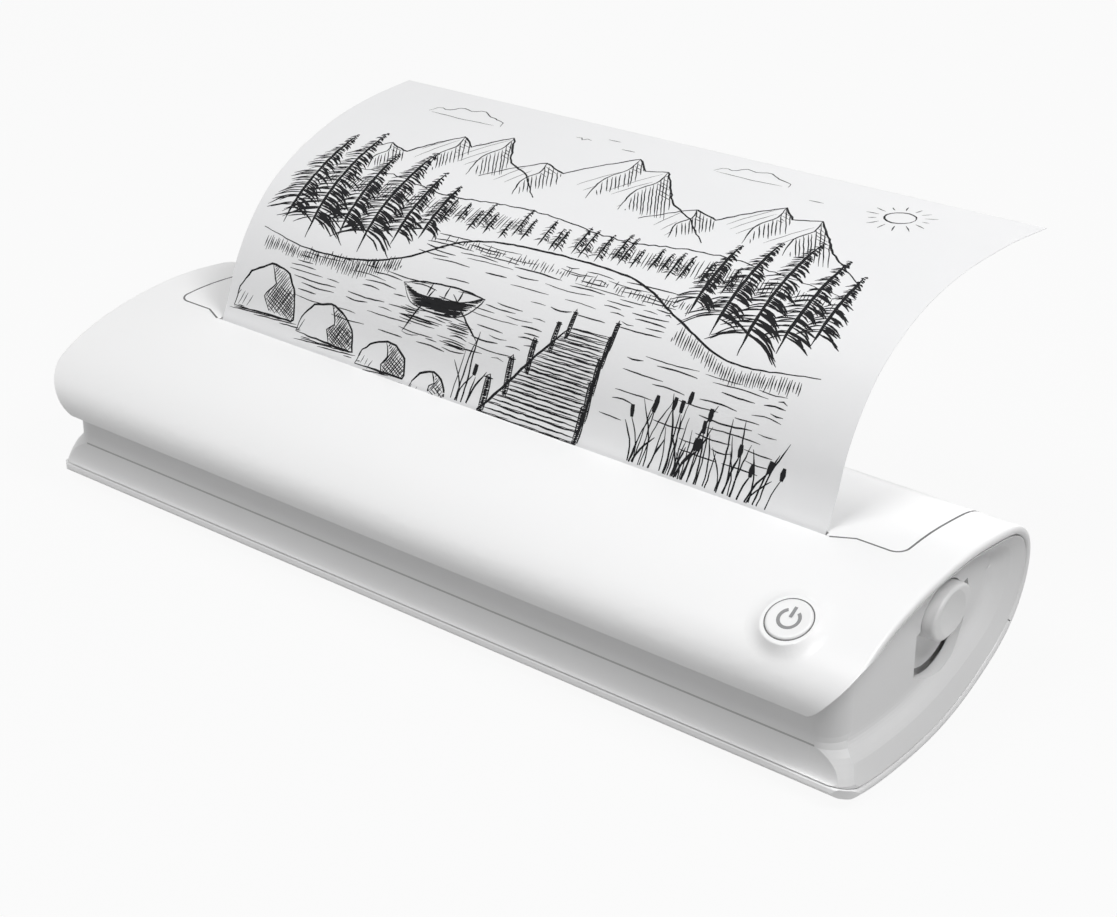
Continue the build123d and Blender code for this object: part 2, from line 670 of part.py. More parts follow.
def paper_tray():
    """Trough under the roll, with a front wall that leads the paper up to the nip."""
    trough = tube_face(ROLL, 12.6, 11.2) & sector(ROLL, 20.0, 180, 345)
    wall = poly((0.9, 20.4), (2.3, 20.4), (2.3, 21.4), (-3.6, 27.9), (-4.4, 28.4), (-5.2, 28.0), (0.9, 21.4))
    body = prism(trough + wall, -105.8, 105.8)
    rib = poly((1.5, 20.4), (8.0, 10.0), (8.0, 5.6), (-3.0, 5.2), (-3.0, 12.0)) - disc(ROLL, 12.0)
    for k in range(5):
        x = -80.0 + 40.0 * k
        body += prism(rib, x - 0.7, x + 0.7)
    return body


def paper_roll():
    return prism(tube_face(ROLL, ROLL_RADIUS, 5.2), -PAPER_WIDTH / 2, PAPER_WIDTH / 2)


def roll_core():
    return prism(tube_face(ROLL, 5.2, 4.1), -PAPER_WIDTH / 2, PAPER_WIDTH / 2)


def paper_web():
    """Paper from the roll up to just under the nip."""
    half_gap = NIP_GAP / 2
    path = FilletPolyline((ROLL[0] - 10.92, 20.0), (ROLL[0] - 10.92, 22.6), nip_point(-8.6, half_gap),
                          nip_point(2.6, half_gap), radius=2.0)
    return prism(trace(path, PAPER_THICK), -PAPER_WIDTH / 2, PAPER_WIDTH / 2)


SHEET_THICK = 0.10
SHEET_LEFT = [              # left edge of the printed sheet from above the slot to its free end
    (0.4, 50.4), (2.2, 54.7), (5.3, 62.6), (9.8, 70.4), (15.0, 77.0), (21.4, 83.0), (29.9, 88.3),
    (39.8, 92.5), (52.0, 96.0), (64.5, 97.9), (74.6, 98.6), (83.0, 98.9),
]
SHEET_RIGHT = [             # right edge
    (0.7, 50.6), (3.2, 56.2), (5.8, 64.0), (9.1, 70.6), (13.2, 76.5), (18.1, 81.9), (23.6, 86.2),
    (30.8, 90.3), (39.3, 93.7), (48.6, 96.0), (60.1, 97.4), (72.5, 97.7), (85.2, 97.4), (101.8, 95.9),
]


def sheet_section(points, x):
    """Thin end section of the sheet, from just above the print head to the free end."""
    curve = Spline(nip_point(2.7, NIP_GAP / 2), nip_point(3.7, NIP_GAP / 2), (-1.5, 46.9), *points)
    runs = []
    for s in (1, -1):
        run = []
        for k in range(31):
            at, along = curve @ (k / 30), curve % (k / 30)
            run.append((at.X - s * along.Y * SHEET_THICK / 2, at.Y + s * along.X * SHEET_THICK / 2))
        runs.append(Spline(*run))
    a, b = runs
    return Plane.YZ.offset(x) * make_face([a, Line(a @ 1, b @ 1), b, Line(b @ 0, a @ 0)])


def printed_sheet():
    half = PAPER_WIDTH / 2
    return loft([sheet_section(SHEET_LEFT, -half), sheet_section(SHEET_RIGHT, half)], ruled=True)


# ---------------------------------------------------------------- power and control


def battery_cells():
    cells = Part()
    for x in CELL_STARTS:
        cells += rod(CELL, CELL_RADIUS, x, x + CELL_LENGTH) + rod(CELL, 2.8, x + CELL_LENGTH, x + CELL_LENGTH + 1.0)
    return cells


def battery_cradle():
    """Saddle under the cells, with end walls and three posts."""
    saddle = tube_face(CELL, 10.4, CELL_RADIUS + 0.1) & sector(CELL, 20, 205, 335)
    wall = disc(CELL, 9.9) & (Pos(CELL[0], CELL[1] - 7) * Rectangle(30, 14))
    body = prism(saddle, -35.6, 99.8)
    for x in (-34.9, 31.9, 99.0):
        body += prism(wall, x - 0.6, x + 0.6)
    for x in (-24.0, 32.0, 92.0):
        body += block(x - 1.0, x + 1.0, -18.6, -15.6, 5.2, 26.0) - rod(CELL, 10.0, x - 3, x + 3)
    return body


def main_board():
    board = slab(Pos(0, -26.2) * RectangleRounded(168, 13.4, 1.0), 9.52, 11.1)
    for x in (-78, 0, 78):
        for y in (-31.0, -22.0):
            board -= Pos(x, y, 10) * Cylinder(1.1, 6)
    return board


def board_parts():
    chips = block(-34, -26, -30.5, -22.5, 11.1, 12.4) + block(10, 22, -31, -21, 11.1, 12.9)
    chips += block(40, 44, -30, -26, 11.1, 13.6) + block(52, 58, -30, -24, 11.1, 13.1)
    chips += block(-70, -56, -24.5, -20.5, 11.1, 14.9)
    chips += Pos(-50, -26, 13.1) * Cylinder(2.0, 4.0) + Pos(-44.5, -26, 13.1) * Cylinder(2.0, 4.0)
    return chips


def socket_board():
    return block(-127.6, -126.4, SOCKET[0] - 7.5, SOCKET[0] + 7.5, SOCKET[1] - 6, SOCKET[1] + 5)


def charging_socket():
    outer = Pos(*SOCKET) * RectangleRounded(8.9, 3.2, 1.55)
    inner = Pos(*SOCKET) * RectangleRounded(8.2, 2.5, 1.2)
    body = prism(outer, -132.4, -127.6) - prism(inner, -133.0, -128.6)
    return body + prism(Pos(*SOCKET) * Rectangle(6.4, 0.7), -131.9, -128.5)


def power_button():
    plane = button_plane()
    crown = Spline((0.0, 1.25), (2.8, 1.33), (4.9, 1.50), (5.5, 1.45), (BUTTON_RADIUS, 1.05))
    edge = Polyline(crown @ 1, (BUTTON_RADIUS, -4.3), (6.9, -4.5), (6.9, -5.2), (1.6, -5.2), (1.6, -6.0), (0, -6.0), crown @ 0)
    return turned(make_face([crown, edge]), plane)


def button_switch():
    plane = button_plane()
    body = plane * Pos(0, 0, -7.9) * Box(6.0, 6.0, 3.2)
    body -= plane * Pos(0, 0, -6.3) * Cylinder(1.9, 1.8)
    return body


def button_board():
    return button_plane() * Pos(0, 0, -10.1) * Box(21.1, 12.0, 1.2)


def case_screws():
    group = Part()
    for (x, y), head, tip in ((FRONT_SCREW, 1.9, 15.0), (REAR_SCREW, 2.3, 11.0)):
        screw = Pos(x, y, (head + 3.4) / 2) * Cylinder(2.0, 3.4 - head) + Pos(x, y, (tip + 3) / 2) * Cylinder(0.98, tip - 3)
        group += both_ends(screw)
    return group


def base_pad():
    pad = slab(Pos(0, -8, 0) * RectangleRounded(206, 38, 9), 0, 1.2)
    return pad


def platen_shaft():
    return rod(PLATEN, 2.0, -GEAR_OUT - 0.4, ARM_OUT + 0.6)


def platen_rubber():
    return prism(tube_face(PLATEN, PLATEN_RADIUS, 2.0), -105.3, 105.3)


def paper_sensor():
    return prism(poly((-6.0, 23.6), (-1.2, 23.2), (-4.5, 26.9), (-6.0, 26.9)), -3.0, 3.0)


def head_ribbon():
    path = FilletPolyline((-8.9, 28.3), (-8.9, 20.0), (-20.0, 16.2), (-20.0, 11.2), radius=2.0)
    return prism(trace(path, 0.3), 42.0, 74.0)


PARTS = {
    "upper_shell": upper_shell,
    "lower_shell": lower_shell,
    "front_panel": front_panel,
    "end_cap_left": lambda: end_cap(-1),
    "end_cap_right": lambda: end_cap(1),
    "base_pad": base_pad,
    "case_screws": case_screws,
    "cover_skin": cover_skin,
    "cover_liner": cover_liner,
    "platen_arm_left": lambda: platen_arm(-1),
    "platen_arm_right": lambda: platen_arm(1),
    "platen_bush_left": lambda: platen_bush(-1),
    "platen_bush_right": lambda: platen_bush(1),
    "tear_bar": tear_bar,
    "hinge_pin_left": lambda: hinge_pin(-1),
    "hinge_pin_right": lambda: hinge_pin(1),
    "platen_shaft": platen_shaft,
    "platen_rubber": platen_rubber,
    "platen_gear": platen_gear,
    "idler_gear": idler_gear,
    "reduction_gear": reduction_gear,
    "motor_pinion": motor_pinion,
    "feed_motor": feed_motor,
    "gear_studs": gear_studs,
    "side_plate_left": lambda: side_plate(-1),
    "side_plate_right": lambda: side_plate(1),
    "mechanism_beam": mechanism_beam,
    "head_strip": head_strip,
    "head_sink": head_sink,
    "head_pivot": head_pivot,
    "head_spring": head_spring,
    "head_ribbon": head_ribbon,
    "release_lever": release_lever,
    "latch_shaft": latch_shaft,
    "latch_hook_left": lambda: latch_hook(-1),
    "latch_hook_right": lambda: latch_hook(1),
    "lever_spring": lever_spring,
    "paper_roll": paper_roll,
    "roll_core": roll_core,
    "paper_web": paper_web,
    "printed_sheet": printed_sheet,
    "paper_tray": paper_tray,
    "paper_sensor": paper_sensor,
    "battery_cells": battery_cells,
    "battery_cradle": battery_cradle,
    "main_board": main_board,
    "board_parts": board_parts,
    "socket_board": socket_board,
    "charging_socket": charging_socket,
    "power_button": power_button,
    "button_switch": button_switch,
    "button_board": button_board,
}

for name, make in PARTS.items():
    made = make()
    export_step(made, f"parts/{name}.step")
    print(name, round(made.volume, 1), len(made.solids()))
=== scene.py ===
import json
import math
import random

import bpy
from mathutils import Matrix, Vector


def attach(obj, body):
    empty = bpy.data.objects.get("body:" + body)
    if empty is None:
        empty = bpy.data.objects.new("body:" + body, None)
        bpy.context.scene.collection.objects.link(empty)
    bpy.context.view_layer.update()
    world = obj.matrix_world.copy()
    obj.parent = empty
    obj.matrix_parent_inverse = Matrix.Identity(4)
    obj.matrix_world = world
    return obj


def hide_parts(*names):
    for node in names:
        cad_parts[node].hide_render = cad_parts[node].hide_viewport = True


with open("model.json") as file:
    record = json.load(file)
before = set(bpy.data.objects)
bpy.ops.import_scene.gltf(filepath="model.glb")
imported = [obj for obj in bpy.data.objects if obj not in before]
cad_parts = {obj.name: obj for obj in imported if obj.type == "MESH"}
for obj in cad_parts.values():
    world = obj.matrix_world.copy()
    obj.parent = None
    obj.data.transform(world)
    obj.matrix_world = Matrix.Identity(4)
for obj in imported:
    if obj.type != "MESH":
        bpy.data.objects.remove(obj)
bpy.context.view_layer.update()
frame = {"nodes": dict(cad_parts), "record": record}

MM = 0.001
DRAWING_SEED = 41
random.seed(DRAWING_SEED)

# ---------------------------------------------------------------- finishes


class Link:
    """A shader socket that can be used in sums."""

    def __init__(self, finish, socket):
        self.finish = finish
        self.socket = socket

    def maths(self, operation, *others):
        values = dict(enumerate((self, *others)))
        return self.finish.node("ShaderNodeMath", {"operation": operation}, values)

    def __add__(self, other):
        return self.maths("ADD", other)

    def __sub__(self, other):
        return self.maths("SUBTRACT", other)

    def __rsub__(self, other):
        return (self * -1.0) + other

    def __mul__(self, other):
        return self.maths("MULTIPLY", other)

    def __lt__(self, other):
        return self.maths("LESS_THAN", other)

    __radd__ = __add__
    __rmul__ = __mul__


class Finish:
    """One node material. Its methods add nodes and return links."""

    def __init__(self, name):
        self.material = bpy.data.materials.new(name)
        self.material.use_nodes = True
        self.tree = self.material.node_tree
        self.shader = self.tree.nodes["Principled BSDF"]

    def node(self, kind, settings=None, values=None, out=0):
        """Adds a node. Settings are its own properties, and values go to its sockets."""
        made = self.tree.nodes.new(kind)
        for key, value in (settings or {}).items():
            setattr(made, key, value)
        for key, value in (values or {}).items():
            self.put(made.inputs[key], value)
        return Link(self, made.outputs[out])

    def put(self, socket, value):
        if isinstance(value, Link):
            self.tree.links.new(value.socket, socket)
        else:
            socket.default_value = value

    def set(self, **values):
        """Sets or links sockets of the shader. Underscores stand for spaces."""
        for key, value in values.items():
            self.put(self.shader.inputs[key.replace("_", " ")], value)

    def place(self, stretch=(1, 1, 1)):
        """Position in the object, in metres, stretched for grain that runs one way."""
        spot = self.node("ShaderNodeTexCoord", out="Object")
        return self.node("ShaderNodeVectorMath", {"operation": "MULTIPLY"}, {0: spot, 1: stretch})

    def noise(self, scale, detail=3.0, rough=0.5, stretch=(1, 1, 1)):
        values = {"Vector": self.place(stretch), "Scale": scale, "Detail": detail, "Roughness": rough}
        return self.node("ShaderNodeTexNoise", None, values)

    def cells(self, scale, stretch=(1, 1, 1), feature="F1"):
        values = {"Vector": self.place(stretch), "Scale": scale}
        return self.node("ShaderNodeTexVoronoi", {"feature": feature}, values, "Distance")

    def mix(self, mask, a, b):
        """Colour a where the mask is 0 and b where it is 1."""
        values = {"Factor": mask, "A": rgba(a), "B": rgba(b)}
        made = self.tree.nodes.new("ShaderNodeMix")
        made.data_type = "RGBA"
        for socket in made.inputs:
            if socket.enabled and socket.name in values:
                self.put(socket, values[socket.name])
        return Link(self, [s for s in made.outputs if s.enabled][0])

    def bump(self, height, strength, distance):
        values = {"Height": height, "Strength": strength, "Distance": distance}
        return self.node("ShaderNodeBump", None, values)


def rgba(colour):
    return colour if isinstance(colour, Link) else (*colour, 1.0)


def moulded(name, colour, rough, grain=0.10):
    """Injection-moulded plastic: fine spark-eroded grain, slow changes of tone and a little gloss."""
    f = Finish(name)
    slow = f.noise(22.0, 2.0)
    fine = f.noise(5200.0, 2.0)
    tone = f.mix(slow, [c * 0.985 for c in colour], colour)
    f.set(Base_Color=tone, Roughness=rough + (slow - 0.5) * 0.06 + (fine - 0.5) * 0.05)
    f.set(Normal=f.bump(fine, grain, 0.02 * MM))
    return f.material


def drawn_metal(name, colour, rough):
    """Metal with fine lines along X and a faint stain."""
    f = Finish(name)
    lines = f.noise(160.0, 4.0, 0.6, (1, 60, 60))
    stain = f.noise(45.0, 3.0)
    f.set(Base_Color=f.mix(lines, [c * 0.90 for c in colour], colour), Metallic=1.0)
    f.set(Roughness=rough + (lines - 0.5) * 0.16 + (stain - 0.5) * 0.08)
    f.set(Normal=f.bump(lines, 0.18, 0.03 * MM))
    return f.material


def zinc_sheet():
    """Zinc-plated sheet with a faint spangle."""
    f = Finish("zinc_sheet")
    spangle = f.cells(260.0)
    f.set(Base_Color=f.mix(spangle, (0.55, 0.56, 0.56), (0.68, 0.69, 0.68)), Metallic=1.0)
    f.set(Roughness=0.34 + spangle * 0.16)
    return f.material


def ground_rubber(name, colour, rough=0.72):
    """Rubber with grinding lines and a little dust."""
    f = Finish(name)
    grind = f.noise(140.0, 3.0, 0.6, (60, 4, 4))
    dust = f.noise(900.0, 2.0)
    f.set(Base_Color=f.mix(dust, colour, [c * 1.6 + 0.01 for c in colour]))
    f.set(Roughness=rough + (dust - 0.5) * 0.16, Normal=f.bump(grind, 0.22, 0.04 * MM))
    return f.material


def thermal_paper():
    """Coated paper: nearly smooth, with faint fibres and cloudiness."""
    f = Finish("thermal_paper")
    fibres = f.noise(1500.0, 5.0, 0.65)
    cloud = f.noise(60.0, 4.0)
    tone = f.mix(cloud, (0.775, 0.778, 0.785), (0.805, 0.807, 0.813))
    f.set(Base_Color=f.mix(fibres * 0.35, tone, (0.73, 0.73, 0.74)))
    f.set(Roughness=0.62 + (fibres - 0.5) * 0.12, Normal=f.bump(fibres, 0.10, 0.02 * MM))
    return f.material


def printed_ink():
    """Thermal print: near black, broken up a little like a pen line on paper."""
    f = Finish("printed_ink")
    dots = f.noise(2600.0, 3.0, 0.7)
    f.set(Base_Color=f.mix(dots, (0.006, 0.006, 0.007), (0.022, 0.022, 0.024)))
    f.set(Roughness=0.7 + dots * 0.1, Specular_IOR_Level=0.12)
    return f.material


def sign_print():
    """Grey pad print on the button."""
    f = Finish("sign_print")
    dots = f.noise(2600.0, 3.0, 0.7)
    f.set(Base_Color=f.mix(dots, (0.22, 0.22, 0.225), (0.27, 0.27, 0.275)))
    f.set(Roughness=0.45 + dots * 0.1)
    return f.material


def circuit_board():
    """Green solder mask over copper tracks."""
    f = Finish("circuit_board")
    tracks = f.cells(420.0, (1, 1, 0.02), "DISTANCE_TO_EDGE") < 0.06
    f.set(Base_Color=f.mix(tracks, (0.012, 0.10, 0.045), (0.03, 0.19, 0.085)))
    f.set(Roughness=0.34 + tracks * 0.08, Normal=f.bump(tracks, 0.3, 0.03 * MM))
    return f.material


def card_tube():
    """Brown card wound in plies."""
    f = Finish("card_tube")
    plies = f.noise(90.0, 4.0, 0.6, (30, 1, 1))
    f.set(Base_Color=f.mix(plies, (0.40, 0.30, 0.19), (0.52, 0.41, 0.27)))
    f.set(Roughness=0.85 + plies * 0.05)
    return f.material


def cell_wrap():
    """Blue shrink film, a little wrinkled."""
    f = Finish("cell_wrap")
    wrinkle = f.noise(120.0, 3.0, 0.5, (1, 6, 6))
    f.set(Base_Color=f.mix(wrinkle, (0.02, 0.12, 0.28), (0.03, 0.16, 0.36)))
    f.set(Roughness=0.25 + wrinkle * 0.12, Normal=f.bump(wrinkle, 0.15, 0.2 * MM))
    return f.material


def glazed_strip():
    """Brown glaze over the ceramic of the print head."""
    f = Finish("glazed_strip")
    glaze = f.noise(300.0, 2.0, 0.5, (20, 1, 1))
    f.set(Base_Color=f.mix(glaze, (0.06, 0.035, 0.025), (0.11, 0.065, 0.045)))
    f.set(Roughness=0.10 + glaze * 0.05)
    return f.material


FINISHES = {
    "shell_white": moulded("satin_white", (0.86, 0.86, 0.862), 0.36, 0.06),
    "cap_white": moulded("recess_white", (0.80, 0.80, 0.802), 0.42, 0.08),
    "lever_grey": moulded("grip_grey", (0.80, 0.80, 0.80), 0.38, 0.08),
    "button_white": moulded("button_white", (0.84, 0.84, 0.842), 0.34, 0.05),
    "inner_grey": moulded("inner_grey", (0.15, 0.153, 0.157), 0.55, 0.25),
    "dark_frame": moulded("filled_nylon", (0.022, 0.022, 0.024), 0.50, 0.30),
    "bush_nylon": moulded("natural_nylon", (0.66, 0.62, 0.52), 0.40, 0.10),
    "gear_plastic": moulded("acetal", (0.70, 0.67, 0.58), 0.32, 0.08),
    "chip_black": moulded("moulded_packages", (0.014, 0.014, 0.015), 0.45, 0.30),
    "pad_rubber": ground_rubber("pad_rubber", (0.028, 0.028, 0.030)),
    "platen_rubber": ground_rubber("platen_rubber", (0.014, 0.014, 0.015), 0.62),
    "steel": drawn_metal("drawn_steel", (0.60, 0.60, 0.61), 0.28),
    "heat_sink": drawn_metal("plain_aluminium", (0.72, 0.73, 0.74), 0.36),
    "zinc_sheet": zinc_sheet(),
    "ceramic": glazed_strip(),
    "paper": thermal_paper(),
    "core_card": card_tube(),
    "cell_wrap": cell_wrap(),
    "board_green": circuit_board(),
    "ribbon": moulded("amber_ribbon", (0.48, 0.20, 0.03), 0.22, 0.02),
}


def finish_cad_nodes():
    """Gives every solid the finish of its material slot."""
    slots = {part["node"]: part["material_slot"] for part in frame["record"]["subparts"]}
    for name, node in frame["nodes"].items():
        node.data.materials.clear()
        node.data.materials.append(FINISHES[slots[name]])


# ---------------------------------------------------------------- mesh helpers


def mesh_piece(name, points, faces, body, finish, crease=0.6):
    """Mesh object on a body. Edges that bend by more than the crease, in radians, stay sharp."""
    mesh = bpy.data.meshes.new(name)
    mesh.from_pydata([tuple(p) for p in points], [], faces)
    mesh.materials.append(finish)
    mesh.polygons.foreach_set("use_smooth", [True] * len(mesh.polygons))
    mesh.set_sharp_from_angle(angle=crease)
    mesh.update()
    piece = bpy.data.objects.new(name, mesh)
    bpy.context.scene.collection.objects.link(piece)
    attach(piece, body)
    return piece


def strip_faces(start, count):
    """Faces of a ribbon whose points come in pairs: so many pairs, from the point numbered start."""
    return [(a + 1, a, a + 2, a + 3) for a in range(start, start + 2 * (count - 1), 2)]


# ---------------------------------------------------------------- the printed sheet

SHEET_WIDTH = 210.0
SHEET_THICK = 0.10
# The foot of the sheet and its two side edges, in millimetres to the back and up.
SHEET_FOOT = [(-2.685, 40.878), (-2.546, 41.868), (-1.5, 46.9)]
SHEET_LEFT = [
    (0.4, 50.4), (2.2, 54.7), (5.3, 62.6), (9.8, 70.4), (15.0, 77.0), (21.4, 83.0), (29.9, 88.3),
    (39.8, 92.5), (52.0, 96.0), (64.5, 97.9), (74.6, 98.6), (83.0, 98.9),
]
SHEET_RIGHT = [
    (0.7, 50.6), (3.2, 56.2), (5.8, 64.0), (9.1, 70.6), (13.2, 76.5), (18.1, 81.9), (23.6, 86.2),
    (30.8, 90.3), (39.3, 93.7), (48.6, 96.0), (60.1, 97.4), (72.5, 97.7), (85.2, 97.4), (101.8, 95.9),
]
SLOT_LENGTH = 6.4        # paper between its foot and the slot
DRAWN_HEIGHT = 118.0     # the drawing's own height, from the slot to the free end
EDGE_STEPS = 120
SHEET_COLUMNS = 60
SHEET_ROWS = 110


def smooth_run(points, pieces=8):
    """Catmull-Rom curve through flat points."""
    ends = [2 * points[0] - points[1], *points, 2 * points[-1] - points[-2]]
    run = []
    for p0, p1, p2, p3 in zip(ends, ends[1:], ends[2:], ends[3:]):
        for k in range(pieces):
            t = k / pieces
            run.append(0.5 * (2 * p1 + (p2 - p0) * t + (2 * p0 - 5 * p1 + 4 * p2 - p3) * t * t
                              + (3 * p1 - p0 - 3 * p2 + p3) * t ** 3))
    return run + [points[-1]]


def evenly(run, count):
    """The same run as count + 1 points at equal steps of length."""
    lengths = [0.0]
    for a, b in zip(run, run[1:]):
        lengths.append(lengths[-1] + (b - a).length)
    out, k = [], 0
    for step in range(count + 1):
        want = lengths[-1] * step / count
        while k < len(run) - 2 and lengths[k + 1] < want:
            k += 1
        part = (want - lengths[k]) / (lengths[k + 1] - lengths[k])
        out.append(run[k].lerp(run[k + 1], part))
    return out, lengths[-1]


class Sheet:
    """The curved sheet. at(u, v) takes flat millimetres: u across from the left, v up from the slot."""

    def __init__(self):
        self.rows = []
        for points in (SHEET_LEFT, SHEET_RIGHT):
            run = smooth_run([Vector(p) for p in SHEET_FOOT + points])
            self.rows.append(evenly(run, EDGE_STEPS))

    def edge(self, side, v):
        even, length = self.rows[side]
        part = (SLOT_LENGTH + v / DRAWN_HEIGHT * (length - SLOT_LENGTH)) / length
        spot = min(max(part, 0.0), 1.0) * EDGE_STEPS
        k = min(int(spot), EDGE_STEPS - 1)
        point = even[k].lerp(even[k + 1], spot - k)
        along = (even[k + 1] - even[k]).normalized()
        return point, along

    def at(self, u, v, lift=0.0):
        across = u / SHEET_WIDTH
        (p, a), (q, b) = self.edge(0, v), self.edge(1, v)
        point, along = p.lerp(q, across), a.lerp(b, across).normalized()
        x = u - SHEET_WIDTH / 2
        return Vector((x, point.x - lift * along.y, point.y + lift * along.x)) * MM


def paper_sheet(sheet):
    """The sheet with its thickness: two grids of points, joined along the four edges."""
    columns, rows = SHEET_COLUMNS, SHEET_ROWS
    low = -SLOT_LENGTH
    points, faces = [], []
    for lift in (SHEET_THICK / 2, -SHEET_THICK / 2):
        for j in range(rows + 1):
            v = low + (DRAWN_HEIGHT - low) * j / rows
            for i in range(columns + 1):
                points.append(sheet.at(SHEET_WIDTH * i / columns, v, lift))
    layer = (columns + 1) * (rows + 1)

    def face(*corners):
        faces.append([side * layer + j * (columns + 1) + i for i, j, side in corners])
    for j in range(rows):
        for i in range(columns):
            face((i, j, 0), (i + 1, j, 0), (i + 1, j + 1, 0), (i, j + 1, 0))
            face((i, j, 1), (i, j + 1, 1), (i + 1, j + 1, 1), (i + 1, j, 1))
    for i in range(columns):
        face((i, 0, 0), (i, 0, 1), (i + 1, 0, 1), (i + 1, 0, 0))
        face((i, rows, 0), (i + 1, rows, 0), (i + 1, rows, 1), (i, rows, 1))
    for j in range(rows):
        face((0, j, 0), (0, j + 1, 0), (0, j + 1, 1), (0, j, 1))
        face((columns, j, 0), (columns, j, 1), (columns, j + 1, 1), (columns, j + 1, 0))
    piece = mesh_piece("paper_sheet", points, faces, "cover", FINISHES["paper"])
    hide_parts("printed_sheet")


# ---------------------------------------------------------------- the drawing on the sheet

INK_LIFT = 0.02
PRINT_ACROSS = (0.5, 209.5)      # the ink keeps off the paper's edges
PRINT_ALONG = (-3.0, 117.5)
STROKE_STEP = 1.6
SHORTEST_STROKE = 0.3


def within(value, limits):
    return min(max(value, limits[0]), limits[1])


class Pen:
    """Collects pen strokes as thin ribbons that lie on the sheet."""

    def __init__(self, sheet):
        self.sheet = sheet
        self.points = []
        self.faces = []

    def stroke(self, run, width=0.45, thin=0.35, shake=0.12):
        """A line through flat points. It thins at both ends and shakes a little."""
        run = [Vector(p) for p in run]
        length = sum((b - a).length for a, b in zip(run, run[1:]))
        if length < SHORTEST_STROKE:
            return
        even, _ = evenly(run, max(2, int(length / STROKE_STEP)))
        count = len(even)
        start = len(self.points)
        for k, p in enumerate(even):
            ahead = even[min(k + 1, count - 1)] - even[max(k - 1, 0)]
            side = Vector((-ahead.y, ahead.x)).normalized()
            p = p + side * random.uniform(-shake, shake)
            t = k / (count - 1)
            full = thin + (1 - thin) * min(1.0, 5 * t, 5 * (1 - t))
            w = width / 2 * full * random.uniform(0.85, 1.15)
            for s in (-1, 1):
                q = p + side * s * w
                spot = within(q.x, PRINT_ACROSS), within(q.y, PRINT_ALONG)
                self.points.append(self.sheet.at(*spot, SHEET_THICK / 2 + INK_LIFT))
        self.faces += strip_faces(start, count)

    def curve(self, points, width=0.5, **more):
        self.stroke(smooth_run([Vector(p) for p in points], 6), width, **more)

    def loop(self, points, width=0.5, **more):
        self.curve([*points, points[0]], width, **more)

    def hatch(self, shape, angle, gap, width=0.3, ragged=0.8, skip=0.0, shake=0.1):
        """Parallel strokes inside a flat outline. The angle is in degrees; skip is the share left out."""
        turn = Matrix.Rotation(-math.radians(angle), 2)
        back = Matrix.Rotation(math.radians(angle), 2)
        spun = [turn @ Vector(p) for p in shape]
        low, high = min(p.y for p in spun), max(p.y for p in spun)
        y = low + gap * 0.5
        while y < high:
            cuts = []
            for a, b in zip(spun, spun[1:] + spun[:1]):
                if (a.y > y) != (b.y > y):
                    cuts.append(a.x + (b.x - a.x) * (y - a.y) / (b.y - a.y))
            cuts.sort()
            for x0, x1 in zip(cuts[::2], cuts[1::2]):
                x0 += random.uniform(0, ragged)
                x1 -= random.uniform(0, ragged)
                if x1 - x0 > 0.5 and random.random() >= skip:
                    tilt = random.uniform(-0.25, 0.25) * gap
                    self.stroke([back @ Vector((x0, y)), back @ Vector((x1, y + tilt))], width, shake=shake)
            y += gap * random.uniform(0.75, 1.25)

    def fill(self, shape, gap=0.42, width=0.55):
        """A dark patch made of close strokes."""
        self.hatch(shape, 8, gap, width, 0.1, 0.0, 0.04)
        self.loop(shape, 0.4, shake=0.05)

    def piece(self, name, finish):
        mesh_piece(name, self.points, self.faces, "cover", finish)


def pine(pen, u, v, height, lean=0.0, dark=1.0):
    """A pine: a trunk and tiers of drooping strokes, darker on the right."""
    pen.stroke([(u, v), (u + lean * height, v + height)], 0.8 * dark, 0.2)
    tiers = int(height / 1.5)
    for k in range(tiers):
        t = (k + 1.0) / (tiers + 0.6)
        y = v + height * (0.12 + 0.88 * t)
        x = u + lean * height * (0.12 + 0.88 * t)
        reach = height * 0.24 * (1.05 - t) * random.uniform(0.8, 1.2) + 0.5
        for side in (-1, 1):
            strokes = 3 if side > 0 else 2
            for _ in range(strokes):
                r = reach * random.uniform(0.55, 1.05)
                drop = r * random.uniform(0.25, 0.6)
                start = y + random.uniform(-0.5, 0.9)
                twig = [(x, start), (x + side * r * 0.55, start - drop * 0.35), (x + side * r, start - drop)]
                pen.curve(twig, 0.42 * dark if side > 0 else 0.32 * dark, shake=0.08)


STONE_OUTLINE = [(-0.5, 0.0), (-0.46, 0.42), (-0.30, 0.80), (-0.04, 1.0), (0.22, 0.90), (0.42, 0.58),
                 (0.5, 0.0)]


def boulder(pen, u, v, w, h, turn):
    """A faceted stone: outline, ridge and a right side hatched twice."""
    def spot(x, y):
        return u + w * (x + 0.03 * math.sin(7 * x + turn)), v + h * (y + 0.06 * math.sin(5 * x + 2 * turn))
    ring = [spot(x, y) for x, y in STONE_OUTLINE]
    ridge = [spot(-0.04, 1.0), spot(0.08, 0.58), spot(-0.06, 0.32), spot(0.04, 0.0)]
    pen.stroke([*ring, ring[0]], 0.65)
    pen.stroke(ridge, 0.45)
    pen.hatch([*ring[3:], *ridge[:0:-1]], 62, 0.7, 0.36)
    pen.hatch([ridge[1], ring[5], ring[6], *ridge[:1:-1]], -28, 0.9, 0.32)
    pen.hatch([ring[0], ring[1], spot(-0.2, 0.34), spot(-0.25, 0.0)], 70, 1.4, 0.26, 1.0, 0.2)
    shade = [(u - w * 0.6, v - 2), (u + w * 0.7, v - 2), (u + w * 0.6, v), (u - w * 0.5, v)]
    pen.hatch(shade, 4, 0.6, 0.34, 4.0, 0.15)


